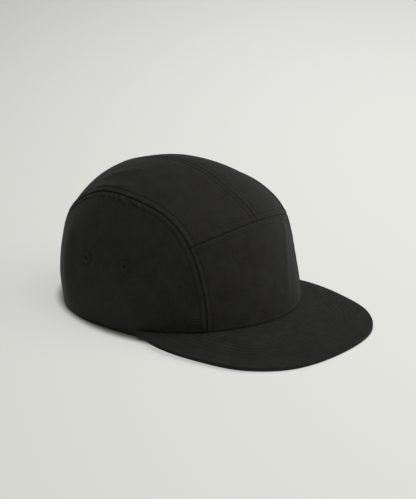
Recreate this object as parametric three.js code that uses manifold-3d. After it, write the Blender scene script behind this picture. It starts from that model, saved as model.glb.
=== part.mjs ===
// Five panel cap in black cotton, in millimetres, +Z up.
// The peak points along -Y and the wearer's right is -X. The cap stands on the rear part of its rim and
// on the tip of its peak, both at z = 0. The origin is under the middle of the whole cap's box.
import * as THREE from "three";
import { mergeVertices } from "three/addons/utils/BufferGeometryUtils.js";
import Module from "manifold-3d";

const wasm = await Module();
wasm.setup();

// Crown
const crownLength = 207;
const crownWidth = 170;
const crownHeight = 116.6;
const frontRimRise = 12.5;
const panelWall = 1.5;

// Peak
const peakReach = 59;
const peakSideOverhang = 4;
const peakCornerOverhang = 1.5;
const peakThickness = 3;

// Sweatband
const sweatbandHeight = 32;
const sweatbandThickness = 1;
const sweatbandShow = 8;
const sweatbandBend = 8;

// Eyelets, four alike
const eyeletFlangeRadius = 4.75;
const eyeletBackRadius = 4;
const eyeletHoleRadius = 2.2;
const eyeletBoreRadius = 1.2;
const eyeletFlangeThickness = 0.7;
const eyeletBackThickness = 0.5;

// Arch at the back, with its strap and slide
const archHeight = 43;
const archMargin = 9.5;
const strapWidth = 20;
const strapThickness = 1.5;
const strapOverlap = 18;
const strapRise = 2.5;
const slideLength = 9;
const slideWall = 1.6;
const slideOffCentre = 12;

// Gap between pieces that touch on the real cap
const clearance = 0.3;

// Sections of the crown from the front rim, the first row, over the top to the rear rim, the last row.
// The centre is the line between the top panels and the seam is the one round a side panel. Shares: along
// of the crown's length from its middle, negative to the front; up of its height; across of its half width.
const sections = [
  { centreAlong: -0.513, centreUp: 0, seamAcross: 0.651, seamAlong: -0.396, seamUp: 0 },
  { centreAlong: -0.462, centreUp: 0.377, seamAcross: 0.634, seamAlong: -0.371, seamUp: 0.289 },
  { centreAlong: -0.395, centreUp: 0.716, seamAcross: 0.659, seamAlong: -0.311, seamUp: 0.614 },
  { centreAlong: -0.266, centreUp: 0.878, seamAcross: 0.657, seamAlong: -0.203, seamUp: 0.778 },
  { centreAlong: -0.073, centreUp: 1, seamAcross: 0.647, seamAlong: -0.029, seamUp: 0.84 },
  { centreAlong: 0.182, centreUp: 0.961, seamAcross: 0.629, seamAlong: 0.167, seamUp: 0.82 },
  { centreAlong: 0.376, centreUp: 0.782, seamAcross: 0.608, seamAlong: 0.342, seamUp: 0.628 },
  { centreAlong: 0.487, centreUp: 0.43, seamAcross: 0.584, seamAlong: 0.405, seamUp: 0.31 },
  { centreAlong: 0.476, centreUp: 0, seamAcross: 0.56, seamAlong: 0.398, seamUp: 0 },
];
const lastSection = sections.length - 1;
const frontSeamSection = 2;

// Fullness of the panels: a higher power keeps the middle flatter and turns it in later, at the seam.
const sideMiddleAlong = 0.043;
const acrossPower = 1.97;
const sidePowerAtRim = 2.63;
const sidePowerAtTop = 3.18;

// The rim is level behind this share of the length. Ahead of it the rim rises, most at the front.
const levelRimAlong = 0.299;
const rimRisePower = 1.2;

// Outer edge of the peak from beside the crown to the tip. Shares: across of the peak's half width, along
// of the crown's length, and reach of the peak's reach ahead of that.
const peakEdge = [
  { across: 0.995, along: -0.304, reach: 0 },
  { across: 0.967, along: -0.462, reach: 0 },
  { across: 0.83, along: -0.513, reach: 0.449 },
  { across: 0.503, along: -0.513, reach: 0.878 },
  { across: 0, along: -0.513, reach: 1 },
];
const peakCornerAlong = -0.164;
const peakDroopPower = 1.22;

// Eyelets of each side panel: the section on its seam that they lie towards, and how far out they are from
// the middle of the panel's rim, as a share of the way to the seam.
const eyeletPlaces = [
  { name: "front", section: 3.02, out: 0.573 },
  { name: "rear", section: 4.95, out: 0.527 },
];

// Soft folds of the cloth: ridges from one place on the crown to another. The places are shares of the half
// width, the length and the height; height and width are shares of a fold's usual height and width.
const foldHeight = 1;
const foldWidth = 10;
const folds = [
  { name: "upper fold of the top", from: [-0.42, 0.2, 0.89], to: [-0.33, 0.08, 0.95], height: 0.9, width: 0.5 },
  { name: "lower fold of the top", from: [-0.56, 0.2, 0.83], to: [-0.56, 0.04, 0.885], height: 0.8, width: 0.4 },
  { name: "low on the side", from: [-0.84, -0.26, 0.36], to: [-0.72, -0.36, 0.14], height: 1.2, width: 0.8 },
  { name: "rear of the side", from: [-0.84, 0.24, 0.52], to: [-0.95, 0.21, 0.16], height: 1.2, width: 0.9 },
];

// How finely the solids are divided
const stepsPerSection = 4;
const frontPanelColumns = 16;
const archColumns = 7;
const sidePanelRings = 9;
const peakColumns = 36;
const peakRows = 5;
const sweatbandColumns = 32;
const sweatbandBendColumns = 3;
const sweatbandRows = 3;
const strapColumns = 20;
const eyeletSides = 14;

const { lerp, clamp } = THREE.MathUtils;

function between(count, from, to) {
  return Array.from({ length: count + 1 }, (_, step) => lerp(from, to, step / count));
}

// Value between low and high at which a steadily changing measure is zero.
function solve(measure, low, high) {
  const rising = measure(high) > measure(low);
  for (let halving = 0; halving < 40; halving += 1) {
    const middle = (low + high) / 2;
    if (measure(middle) > 0 === rising) {
      high = middle;
    } else {
      low = middle;
    }
  }
  return (low + high) / 2;
}

// Crown: its outer face, and depths below it

function curveThrough(points) {
  return new THREE.CatmullRomCurve3(points, false, "catmullrom", 0.5);
}

const centreCurve = curveThrough(
  sections.map((row) => new THREE.Vector3(0, row.centreAlong * crownLength, row.centreUp * crownHeight)),
);
const seamCurve = curveThrough(
  sections.map((row) => new THREE.Vector3(
    row.seamAcross * crownWidth / 2,
    row.seamAlong * crownLength,
    row.seamUp * crownHeight,
  )),
);
const sideMiddle = new THREE.Vector3(crownWidth / 2, sideMiddleAlong * crownLength, 0);
const centreAt = (section) => centreCurve.getPoint(section / lastSection);
const seamAt = (section) => seamCurve.getPoint(section / lastSection);

// Point of the front and top panels before the rim rises. Across runs from -1 on the right seam to 1.
function stripPoint(across, section) {
  const seam = seamAt(section);
  return centreAt(section).lerp(seam, Math.abs(across) ** acrossPower).setX(across * seam.x);
}

// Point of a side panel before the rim rises. Out runs from 0 at the middle of its rim to 1 on its seam.
function sidePoint(hand, out, section) {
  const seam = seamAt(section);
  const power = lerp(sidePowerAtRim, sidePowerAtTop, Math.sin(Math.PI * section / lastSection));
  const x = lerp(sideMiddle.x, seam.x, out ** power);
  return sideMiddle.clone().lerp(seam, out).setX(hand * x);
}

// Moves a point of the outer face in by a depth. Neighbouring panels share this direction, so they keep
// their gap all through their walls, and near the rim it is level, so the rim has an even edge.
function sunk(point, depth) {
  const outward = new THREE.Vector3(
    point.x / (crownWidth / 2) ** 2,
    point.y / (crownLength / 2) ** 2,
    Math.max(0, point.z - frontRimRise) / crownHeight ** 2,
  );
  return point.clone().addScaledVector(outward.normalize(), -depth);
}

// Lifts a point with the rim, fully at the rim itself and not at all at the top of the crown.
function raised(point) {
  const ahead = Math.max(0, levelRimAlong - point.y / crownLength) / (levelRimAlong - sections[0].centreAlong);
  const share = clamp(1 - point.z / crownHeight, 0, 1) ** 2;
  return point.setZ(point.z + frontRimRise * ahead ** rimRisePower * share);
}

const foldLines = folds.map(({ from, to, height, width }) => {
  const [start, end] = [from, to].map(([across, along, up]) => {
    return new THREE.Vector3(across * crownWidth / 2, along * crownLength, up * crownHeight);
  });
  return { line: new THREE.Line3(start, end), height: height * foldHeight, width: width * foldWidth };
});

// Swells a point of the cloth outwards where a fold passes. The sweatband under it stays as it is.
function folded(point) {
  const nearest = new THREE.Vector3();
  let swell = 0;
  for (const { line, height, width } of foldLines) {
    const distance = line.closestPointToPoint(point, true, nearest).distanceTo(point);
    swell += height * Math.exp(-((distance / width) ** 2));
  }
  return sunk(point, -swell);
}

// Point of the crown at a level above its rim. Turn goes round the cap: 0 is the front, 1 the front end of
// the left seam, 2 the middle of the left side, 3 the rear end of the seam and 4 the back. The right side
// is negative, and past 4 the count goes on round the right side.
function crownAtLevel(turn, level) {
  const signed = turn > 4 ? turn - 8 : turn;
  const hand = Math.sign(signed) || 1;
  const along = Math.abs(signed);
  if (along <= 1) {
    const section = solve((value) => stripPoint(along, value).z - level, 0, frontSeamSection);
    return raised(stripPoint(hand * along, section));
  }
  if (along >= 3) {
    const section = solve((value) => stripPoint(4 - along, value).z - level, lastSection, lastSection - 2);
    return raised(stripPoint(hand * (4 - along), section));
  }
  const seamEnd = along < 2 ? 0 : lastSection;
  const seamInward = along < 2 ? frontSeamSection : lastSection - 2;
  const seam = seamAt(solve((value) => seamAt(value).z - level, seamEnd, seamInward));
  const y = lerp(sideMiddle.y, seam.y, Math.abs(along - 2));
  const slope = Math.atan2(level, y - sideMiddle.y);
  const section = solve((value) => {
    const towards = seamAt(value);
    return Math.atan2(towards.z, towards.y - sideMiddle.y) - slope;
  }, 0, lastSection);
  const towards = seamAt(section);
  const reach = Math.hypot(towards.z, towards.y - sideMiddle.y);
  return raised(sidePoint(hand, Math.hypot(level, y - sideMiddle.y) / reach, section));
}

// Turns a body's faces outwards if they point in.
function facingOut(geometry) {
  const at = geometry.getAttribute("position");
  const index = geometry.getIndex();
  const [a, b, c] = [new THREE.Vector3(), new THREE.Vector3(), new THREE.Vector3()];
  let volume = 0;
  for (let corner = 0; corner < index.count; corner += 3) {
    a.fromBufferAttribute(at, index.getX(corner));
    b.fromBufferAttribute(at, index.getX(corner + 1));
    c.fromBufferAttribute(at, index.getX(corner + 2));
    volume += a.dot(b.cross(c));
  }
  if (volume < 0) {
    index.array.reverse();
  }
  return geometry;
}

// Merges a body's shared points and drops the triangles that this leaves without area.
function welded(geometry) {
  geometry.deleteAttribute("normal");
  geometry.deleteAttribute("uv");
  const merged = mergeVertices(geometry, 1e-4);
  const corners = merged.getIndex().array;
  const kept = [];
  for (let corner = 0; corner < corners.length; corner += 3) {
    const [a, b, c] = corners.slice(corner, corner + 3);
    if (a !== b && b !== c && c !== a) {
      kept.push(a, b, c);
    }
  }
  merged.setIndex(kept);
  return facingOut(merged);
}

// Closed body between two faces. Each face is a list of rows of points, and the two match row by row.
function bodyBetween(face, back) {
  const rows = face.length;
  const columns = face[0].length;
  const index = [];
  const at = (side, row, column) => (side * rows + row) * columns + column;
  const quad = (a, b, c, d) => index.push(a, b, c, a, c, d);
  for (let row = 0; row + 1 < rows; row += 1) {
    for (let column = 0; column + 1 < columns; column += 1) {
      quad(at(0, row, column), at(0, row, column + 1), at(0, row + 1, column + 1), at(0, row + 1, column));
      quad(at(1, row, column), at(1, row + 1, column), at(1, row + 1, column + 1), at(1, row, column + 1));
    }
    const last = columns - 1;
    quad(at(0, row, 0), at(0, row + 1, 0), at(1, row + 1, 0), at(1, row, 0));
    quad(at(0, row, last), at(1, row, last), at(1, row + 1, last), at(0, row + 1, last));
  }
  for (let column = 0; column + 1 < columns; column += 1) {
    const last = rows - 1;
    quad(at(0, 0, column), at(1, 0, column), at(1, 0, column + 1), at(0, 0, column + 1));
    quad(at(0, last, column), at(0, last, column + 1), at(1, last, column + 1), at(1, last, column));
  }
  const geometry = new THREE.BufferGeometry().setFromPoints([...face.flat(), ...back.flat()]);
  geometry.setIndex(index);
  return welded(geometry);
}

// Wall of a panel: its outer face, and the same points sunk by the wall.
function panelWallOn(face) {
  return bodyBetween(face, face.map((row) => row.map((point) => sunk(point, panelWall))));
}

function toManifold(geometry) {
  return new wasm.Manifold(new wasm.Mesh({
    numProp: 3,
    vertProperties: new Float32Array(geometry.getAttribute("position").array),
    triVerts: new Uint32Array(geometry.getIndex().array),
  }));
}

function fromManifold(solid) {
  const { vertProperties, triVerts } = solid.getMesh();
  const geometry = new THREE.BufferGeometry();
  geometry.setAttribute("position", new THREE.BufferAttribute(vertProperties, 3));
  geometry.setIndex(new THREE.BufferAttribute(triVerts, 1));
  return geometry;
}

function cutAway(geometry, cutters) {
  return fromManifold(cutters.reduce(
    (solid, cutter) => solid.subtract(toManifold(cutter)),
    toManifold(geometry),
  ));
}

// Front panel and top panels. Each stops half a gap short of its seams.
const seamTrim = (section) => clearance / 2 / seamAt(section).x;
const frontSeamTrim = clearance / 2 / centreAt(frontSeamSection).distanceTo(centreAt(frontSeamSection + 1));

function frontPanel() {
  const stops = between(frontSeamSection * stepsPerSection, 0, frontSeamSection - frontSeamTrim);
  return panelWallOn(stops.map((section) => {
    const edge = 1 - seamTrim(section);
    return between(frontPanelColumns, -edge, edge).map((across) => folded(raised(stripPoint(across, section))));
  }));
}

// The arch over the strap is cut into the lower ends of the top panels. It leaves a margin of panel beside
// the side seam at the rim, and it is highest in the middle.
const archAcross = 1 - archMargin / seamAt(lastSection).x;
const archTopSection = solve((section) => centreAt(section).z - archHeight, lastSection, lastSection - 2);

function topPanelEnd(across) {
  const level = Math.sqrt(Math.max(0, 1 - (across / archAcross) ** 2));
  return lerp(lastSection, archTopSection, level);
}

function topPanel(hand) {
  const columns = between(archColumns, 0, Math.PI / 2).map((angle) => archAcross * Math.sin(angle));
  const start = frontSeamSection + frontSeamTrim;
  const steps = (lastSection - frontSeamSection) * stepsPerSection;
  return panelWallOn([...columns, 1].map((across) => {
    return between(steps, start, topPanelEnd(across)).map((section) => {
      const trim = seamTrim(section);
      return folded(raised(stripPoint(hand * clamp(across, trim, 1 - trim), section)));
    });
  }));
}

// Middle of an eyelet on the panel's outer face, and the way that the panel faces there
function eyeletFrame(hand, place) {
  const step = 0.01;
  const at = (out, section) => folded(raised(sidePoint(hand, out, section)));
  const centre = at(place.out, place.section);
  const outwards = at(place.out + step, place.section).sub(centre);
  const along = at(place.out, place.section + step).sub(centre);
  const normal = outwards.cross(along).normalize();
  return { centre, normal: normal.multiplyScalar(Math.sign(normal.x * hand)) };
}

function onAxis(geometry, { centre, normal }) {
  const upright = new THREE.Vector3(0, 1, 0);
  geometry.applyQuaternion(new THREE.Quaternion().setFromUnitVectors(upright, normal));
  return geometry.translate(centre.x, centre.y, centre.z);
}

// Side panels, with the holes that the eyelets go through
function sidePanel(hand) {
  const rays = between(lastSection * stepsPerSection, 0, lastSection);
  const panel = panelWallOn(rays.map((section) => {
    const trim = clearance / 2 / seamAt(section).distanceTo(sideMiddle);
    return between(sidePanelRings, 0, 1 - trim).map((out) => folded(raised(sidePoint(hand, out, section))));
  }));
  return cutAway(panel, eyeletPlaces.map((place) => {
    const length = panelWall + 4 * eyeletHoleRadius;
    const hole = new THREE.CylinderGeometry(eyeletHoleRadius, eyeletHoleRadius, length, eyeletSides);
    return welded(onAxis(hole, eyeletFrame(hand, place)));
  }));
}

// Eyelet: a ring with a domed flange outside the panel and a flat one inside, joined through the hole.
function eyelet(hand, place) {
  const outside = clearance;
  const inside = -panelWall - clearance;
  const sleeveRadius = eyeletHoleRadius - clearance;
  const dome = eyeletFlangeThickness / 2;
  const profile = [
    [eyeletBoreRadius, inside - eyeletBackThickness],
    [eyeletBackRadius, inside - eyeletBackThickness],
    [eyeletBackRadius, inside],
    [sleeveRadius, inside],
    [sleeveRadius, outside],
    [eyeletFlangeRadius, outside],
    [eyeletFlangeRadius, outside + dome],
    [eyeletFlangeRadius - dome, outside + eyeletFlangeThickness],
    [eyeletBoreRadius + dome, outside + eyeletFlangeThickness],
    [eyeletBoreRadius, outside + dome],
  ];
  const loop = [...profile, profile[0]].map(([radius, height]) => new THREE.Vector2(radius, height));
  return welded(onAxis(new THREE.LatheGeometry(loop, eyeletSides), eyeletFrame(hand, place)));
}

// Peak: its inner edge lies under the rim of the crown, and it runs straight out from there to its edge.
const peakCornerTurn = solve(
  (turn) => crownAtLevel(turn, 0).y - peakCornerAlong * crownLength,
  1,
  2,
);

function peakOutline() {
  const corner = sunk(crownAtLevel(peakCornerTurn, 0), -peakCornerOverhang);
  const left = [new THREE.Vector3(corner.x, corner.y, 0)];
  for (const row of peakEdge) {
    const x = row.across * (crownWidth / 2 + peakSideOverhang);
    left.push(new THREE.Vector3(x, row.along * crownLength - row.reach * peakReach, 0));
  }
  const right = left.slice(0, -1).map((point) => new THREE.Vector3(-point.x, point.y, 0));
  return curveThrough([...right, ...left.reverse()]);
}

// The edge droops from the corners to the tip, whose underside is on the ground.
function peak() {
  const outline = peakOutline();
  const cornerTop = crownAtLevel(peakCornerTurn, 0).z - clearance;
  const cornerY = outline.getPoint(0).y;
  const tipY = outline.getPoint(0.5).y;
  const top = between(peakRows, 0, 1).map((out) => between(peakColumns, -1, 1).map((share) => {
    const inner = sunk(crownAtLevel(share * peakCornerTurn, 0), panelWall);
    inner.z -= clearance;
    const outer = outline.getPoint((share + 1) / 2);
    const ahead = clamp((cornerY - outer.y) / (cornerY - tipY), 0, 1);
    outer.z = lerp(cornerTop, peakThickness, ahead ** peakDroopPower);
    return inner.lerp(outer, out);
  }));
  const under = top.map((row) => row.map((point) => point.clone().setZ(point.z - peakThickness)));
  return bodyBetween(top, under);
}

// Body that follows the crown's inside, between two depths at each of a list of turns and of levels.
// A level below zero hangs under the rim, where the rim is high enough for it.
function crownLining(turns, levels, nearDepth, farDepth) {
  const face = (depth) => levels.map((level) => turns.map((turn) => {
    const point = sunk(crownAtLevel(turn, Math.max(0, level)), depth(turn));
    if (level < 0) point.z = Math.max(point.z + level, Math.min(point.z, clearance));
    return point;
  }));
  return bodyBetween(face(nearDepth), face(farDepth));
}

// Turn whose place on the rim is a length away from that of another turn, towards the side's middle.
function turnBefore(from, length) {
  const start = crownAtLevel(from, 0);
  return solve((turn) => crownAtLevel(turn, 0).distanceTo(start) - length, from, 2);
}

// Strap: it passes behind the arch and ends between the panels and the sweatband.
const archTurn = 4 - archAcross;
const strapEndTurn = turnBefore(archTurn, strapOverlap);
const strapDepth = panelWall + clearance;
const strapTop = strapRise + strapWidth;

function backStrap() {
  const turns = between(strapColumns, strapEndTurn, 8 - strapEndTurn);
  return crownLining(turns, [strapRise, strapTop], () => strapDepth, () => strapDepth + strapThickness);
}

// Slide: a plain flat loop round the strap, a little to one side of the middle.
function strapSlide() {
  const middle = 4 + slideOffCentre / seamAt(lastSection).x;
  const reach = slideLength / 2 / seamAt(lastSection).x;
  const near = strapDepth - clearance;
  const far = strapDepth + strapThickness + clearance;
  const loop = crownLining(
    [middle - reach, middle, middle + reach],
    [strapRise - clearance - slideWall, strapTop + clearance + slideWall],
    () => near - slideWall,
    () => far + slideWall,
  );
  const slot = crownLining(
    [middle - 2 * reach, middle, middle + 2 * reach],
    [strapRise - clearance, strapTop + clearance],
    () => near,
    () => far,
  );
  return cutAway(loop, [slot]);
}

// Sweatband: it lines the rim from one foot of the arch round the front to the other, shows a little below
// the raised rim, and bends inwards near its ends to pass over the ends of the strap.
function sweatband() {
  const bendStart = turnBefore(strapEndTurn, sweatbandBend);
  const depth = (turn) => {
    const over = THREE.MathUtils.smoothstep(Math.abs(turn), bendStart, strapEndTurn);
    return panelWall + clearance + over * (strapThickness + clearance);
  };
  const left = [
    ...between(sweatbandColumns, 0, bendStart),
    ...between(sweatbandBendColumns, bendStart, strapEndTurn).slice(1),
    ...between(sweatbandBendColumns, strapEndTurn, archTurn).slice(1),
  ];
  const right = left.slice(1).reverse().map((turn) => -turn);
  const levels = [-sweatbandShow, ...between(sweatbandRows, 0, sweatbandHeight)];
  return crownLining([...right, ...left], levels, depth, (turn) => depth(turn) + sweatbandThickness);
}

// The whole cap
const finishes = {
  crownCloth: { color: 0x252524, roughness: 0.9, metalness: 0 },
  peakCloth: { color: 0x282827, roughness: 0.9, metalness: 0 },
  sweatbandTape: { color: 0x1f1f1e, roughness: 0.95, metalness: 0 },
  eyeletThread: { color: 0x1c1c1b, roughness: 0.75, metalness: 0 },
  strapWebbing: { color: 0x201f1e, roughness: 0.85, metalness: 0 },
  slidePlastic: { color: 0x151515, roughness: 0.45, metalness: 0 },
};
const cap = new THREE.Group();

function addPiece(name, geometry, finish) {
  const mesh = new THREE.Mesh(geometry, new THREE.MeshStandardMaterial(finish));
  mesh.name = name;
  cap.add(mesh);
}

addPiece("front_panel", frontPanel(), finishes.crownCloth);
addPiece("peak", peak(), finishes.peakCloth);
addPiece("sweatband", sweatband(), finishes.sweatbandTape);
for (const [side, hand] of [["right", -1], ["left", 1]]) {
  addPiece(`top_panel_${side}`, topPanel(hand), finishes.crownCloth);
  addPiece(`side_panel_${side}`, sidePanel(hand), finishes.crownCloth);
  for (const place of eyeletPlaces) {
    addPiece(`eyelet_${side}_${place.name}`, eyelet(hand, place), finishes.eyeletThread);
  }
}
addPiece("back_strap", backStrap(), finishes.strapWebbing);
addPiece("strap_slide", strapSlide(), finishes.slidePlastic);

const box = new THREE.Box3().setFromObject(cap);
const middle = box.getCenter(new THREE.Vector3());
cap.position.set(-middle.x, -middle.y, -box.min.z);

export default cap;
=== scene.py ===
import math
import bmesh
import bpy
import numpy as np
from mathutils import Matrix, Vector


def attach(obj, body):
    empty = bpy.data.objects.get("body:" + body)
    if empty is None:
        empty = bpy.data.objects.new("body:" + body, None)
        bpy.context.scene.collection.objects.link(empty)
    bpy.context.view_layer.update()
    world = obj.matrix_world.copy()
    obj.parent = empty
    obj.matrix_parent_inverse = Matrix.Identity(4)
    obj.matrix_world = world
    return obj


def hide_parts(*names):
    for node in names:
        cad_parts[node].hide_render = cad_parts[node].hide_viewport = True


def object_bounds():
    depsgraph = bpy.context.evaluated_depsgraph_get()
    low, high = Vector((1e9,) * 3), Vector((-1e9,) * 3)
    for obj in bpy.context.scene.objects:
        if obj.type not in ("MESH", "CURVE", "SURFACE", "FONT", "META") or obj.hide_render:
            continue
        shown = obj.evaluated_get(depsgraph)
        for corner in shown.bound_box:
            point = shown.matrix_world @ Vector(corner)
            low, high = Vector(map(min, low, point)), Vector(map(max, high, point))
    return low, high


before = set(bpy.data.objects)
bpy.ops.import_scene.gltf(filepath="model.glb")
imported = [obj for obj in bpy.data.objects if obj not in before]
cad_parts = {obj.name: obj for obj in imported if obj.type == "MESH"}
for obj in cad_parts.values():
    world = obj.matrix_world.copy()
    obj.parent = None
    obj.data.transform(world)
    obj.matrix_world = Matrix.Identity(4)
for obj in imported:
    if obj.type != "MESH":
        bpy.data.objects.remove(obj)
cad_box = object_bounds()

# Camera
# A long lens, a little above the cap and ahead of its right side, where the photo was taken from.
# It aims at a point beside and above the middle of the crown, which keeps the cap left of and below centre.
crown_length = 0.207
peak_reach = 0.059
front_rim_along = -0.513
crown_middle = Vector((0, cad_box[0][1] + peak_reach - front_rim_along * crown_length, 0))
camera_heading = math.radians(-47.27)
camera_height = math.radians(19.55)
camera_distance = 1.1947
aim_beside = 0.0231
aim_above = 0.0396
camera_lens = 106.3
film_width = 36
to_right = Vector((math.cos(camera_heading), math.sin(camera_heading), 0))
to_camera = Vector((
    math.sin(camera_heading) * math.cos(camera_height),
    -math.cos(camera_heading) * math.cos(camera_height),
    math.sin(camera_height),
))
upwards = to_camera.cross(to_right)
camera = bpy.data.objects.new("camera", bpy.data.cameras.new("camera"))
bpy.context.scene.collection.objects.link(camera)
camera.data.lens = camera_lens
camera.data.sensor_width = film_width
camera.location = crown_middle + to_right * aim_beside + upwards * aim_above + to_camera * camera_distance
camera.rotation_euler = to_camera.to_track_quat("Z", "Y").to_euler()
bpy.context.scene.camera = camera

# Studio
# A light table: a pale floor that glows as if from a lamp under it, behind the cap, a painted pool of light.
# The glow is left out where the cap stands on it and just round it, which paints a narrow contact shadow.
# One large softbox hangs over the cap, and one stands on the right of the picture.
floor_half_width = 8.0
floor_grey = (0.30, 0.3013, 0.27, 1)
floor_glow_colour = (1.0, 1.0, 0.975, 1)
floor_glow = 0.578
lamp_beside = 0.25
lamp_behind = 0.57
lamp_width = 0.86
lamp_depth = 2.35
contact_shadow_half_width = 0.085
contact_shadow_half_length = 0.103
contact_shadow_ahead = 0.003
glow_starts = 1.0
glow_full = 1.25
room_colour = (1.0, 1.0, 0.985, 1)
room_strength = 0.1335
softboxes = [
    dict(name="softbox_above", size=3.5, power=56.0, beside=0, nearer=0, above=3.5),
    dict(name="softbox_right", size=2.2, power=25.5, beside=1.6, nearer=0.3, above=1.2),
]
backwards = Vector((-to_camera.x, -to_camera.y, 0)).normalized()
lamp_middle = crown_middle + to_right * lamp_beside + backwards * lamp_behind
contact_shadow_middle = crown_middle - Vector((0, contact_shadow_ahead, 0))


def link_object(name, data):
    """A new object in the scene."""
    thing = bpy.data.objects.new(name, data)
    bpy.context.scene.collection.objects.link(thing)
    return thing


def new_finish(name, **sockets):
    """A material whose shader has these socket values, such as Roughness."""
    finish = bpy.data.materials.new(name)
    finish.use_nodes = True
    shader = finish.node_tree.nodes["Principled BSDF"]
    for socket, value in sockets.items():
        shader.inputs[socket.replace("_", " ")].default_value = value
    return finish, finish.node_tree, shader


def add_node(tree, kind, inputs=None, **settings):
    """A node of a finish. An input is either a value or another node's output."""
    node = tree.nodes.new(kind)
    for name, value in settings.items():
        setattr(node, name, value)
    for name, value in (inputs or {}).items():
        if isinstance(value, bpy.types.NodeSocket):
            tree.links.new(value, node.inputs[name])
        else:
            node.inputs[name].default_value = value
    return node


def combined(tree, operation, *values, vectors=False):
    """Output of a node that works on values, or on vectors."""
    kind = "ShaderNodeVectorMath" if vectors else "ShaderNodeMath"
    node = add_node(tree, kind, dict(enumerate(values)), operation=operation)
    return node.outputs["Value" if operation == "DOT_PRODUCT" else 0]


floor_glass, tree, shader = new_finish(
    "floor_glass", Base_Color=floor_grey, Roughness=0.9, Emission_Color=floor_glow_colour,
)
place = add_node(tree, "ShaderNodeTexCoord").outputs["Object"]
# Painted contact shadow: no glow inside an ellipse round the cap's foot, rising smoothly to full glow just
# outside it.
from_middle = combined(tree, "SUBTRACT", place, contact_shadow_middle, vectors=True)
shares = combined(tree, "DIVIDE", from_middle, (contact_shadow_half_width, contact_shadow_half_length, 1), vectors=True)
squared = combined(tree, "DOT_PRODUCT", shares, shares, vectors=True)
glow_past_contact_shadow = add_node(tree, "ShaderNodeMapRange", {
    "Value": squared, "From Min": glow_starts, "From Max": glow_full, "To Max": floor_glow,
}, interpolation_type="SMOOTHSTEP").outputs["Result"]
# Painted pool of light: the glow fades with distance from a point behind the cap.
from_lamp = combined(tree, "SUBTRACT", place, lamp_middle, vectors=True)
dimmed = 1.0
for way in (to_right / lamp_width, backwards / lamp_depth):
    step = combined(tree, "DOT_PRODUCT", from_lamp, way, vectors=True)
    dimmed = combined(tree, "MULTIPLY_ADD", step, step, dimmed)
tree.links.new(combined(tree, "DIVIDE", glow_past_contact_shadow, dimmed), shader.inputs["Emission Strength"])
floor_mesh = bpy.data.meshes.new("studio_floor")
floor_corners = [Vector((x, y, 0)) * floor_half_width for x, y in ((-1, -1), (1, -1), (1, 1), (-1, 1))]
floor_mesh.from_pydata(floor_corners, [], [range(4)])
floor_mesh.materials.append(floor_glass)
link_object("studio_floor", floor_mesh)
room = bpy.data.worlds.new("room")
room.use_nodes = True
room.node_tree.nodes["Background"].inputs["Color"].default_value = room_colour
room.node_tree.nodes["Background"].inputs["Strength"].default_value = room_strength
bpy.context.scene.world = room
for row in softboxes:
    softbox = link_object(row["name"], bpy.data.lights.new(row["name"], "AREA"))
    softbox.data.size = row["size"]
    softbox.data.energy = row["power"]
    aside = to_right * row["beside"] + to_camera * row["nearer"] + Vector((0, 0, row["above"]))
    softbox.location = crown_middle + aside
    softbox.rotation_euler = aside.to_track_quat("Z", "Y").to_euler()
bpy.context.scene.view_settings.view_transform = "Standard"

# Front panel
# One piece of black cotton over the forehead, backed so that it stands firm. Five such panels make the
# crown. Each is cut to the crown's form, its edges turned under and sewn to its neighbours', and a row of
# stitches on each side of the seam holds the turned edges down.
crown_width = 0.170
crown_height = 0.1166
rim_rise = 0.0125
cloth_thickness = 0.0015
crown_sections = [
    dict(centre_along=front_rim_along, centre_up=0, seam_across=0.651, seam_along=-0.396, seam_up=0),
    dict(centre_along=-0.462, centre_up=0.377, seam_across=0.634, seam_along=-0.371, seam_up=0.289),
    dict(centre_along=-0.395, centre_up=0.716, seam_across=0.659, seam_along=-0.311, seam_up=0.614),
    dict(centre_along=-0.266, centre_up=0.878, seam_across=0.657, seam_along=-0.203, seam_up=0.778),
    dict(centre_along=-0.073, centre_up=1, seam_across=0.647, seam_along=-0.029, seam_up=0.84),
    dict(centre_along=0.182, centre_up=0.961, seam_across=0.629, seam_along=0.167, seam_up=0.82),
    dict(centre_along=0.376, centre_up=0.782, seam_across=0.608, seam_along=0.342, seam_up=0.628),
    dict(centre_along=0.487, centre_up=0.43, seam_across=0.584, seam_along=0.405, seam_up=0.31),
    dict(centre_along=0.476, centre_up=0, seam_across=0.56, seam_along=0.398, seam_up=0),
]
last_section = len(crown_sections) - 1
front_seam_section = 2
across_power = 1.97
level_rim_along = 0.299
rim_rise_power = 1.2
cloth_folds = [
    dict(start=(-0.42, 0.2, 0.89), end=(-0.33, 0.08, 0.95), height=0.0011, width=0.005),
    dict(start=(-0.56, 0.2, 0.83), end=(-0.56, 0.04, 0.885), height=0.0013, width=0.004),
    dict(start=(0.41, -0.385, 0.61), end=(0.17, -0.485, 0.22), height=0.0007, width=0.0045),
    dict(start=(-0.84, -0.26, 0.36), end=(-0.72, -0.36, 0.14), height=0.0012, width=0.008),
    dict(start=(-0.84, 0.24, 0.52), end=(-0.95, 0.21, 0.16), height=0.0012, width=0.009),
]
stitch_pitch = 0.0025
stitch_length = 0.0019
thread_radius = 0.00017
thread_sides = 6
thread_grain = 0.0003
cloth_thread_pitch = 0.00042
fibre_scale = 1100.0
mottle_scale = 95.0
streak_shapes = [(900, 90, 1), (90, 900, 1)]
streak_strength = 0.6
middle_noise = 0.5
fuzz_share = 0.5
thread_share = 0.5
grain_contrast = (0.8, 1.2)
tint_range = (0.55, 0.95)
groove_width = 0.0005
row_valley_width = 0.0006
pucker_pitch = 0.0100
pucker_middle = 0.144
pucker_spread = 0.026
pucker_slant = 0.006
pucker_drift = 0.35
pucker_from = 0.0006
pucker_full = 0.002
pucker_reach = 0.0022
calm_pucker = 0.2
strong_pucker = 2.2
row_drifts = [dict(length=0.0061, share=1, start=0), dict(length=0.0137, share=0.6, start=1)]
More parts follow.
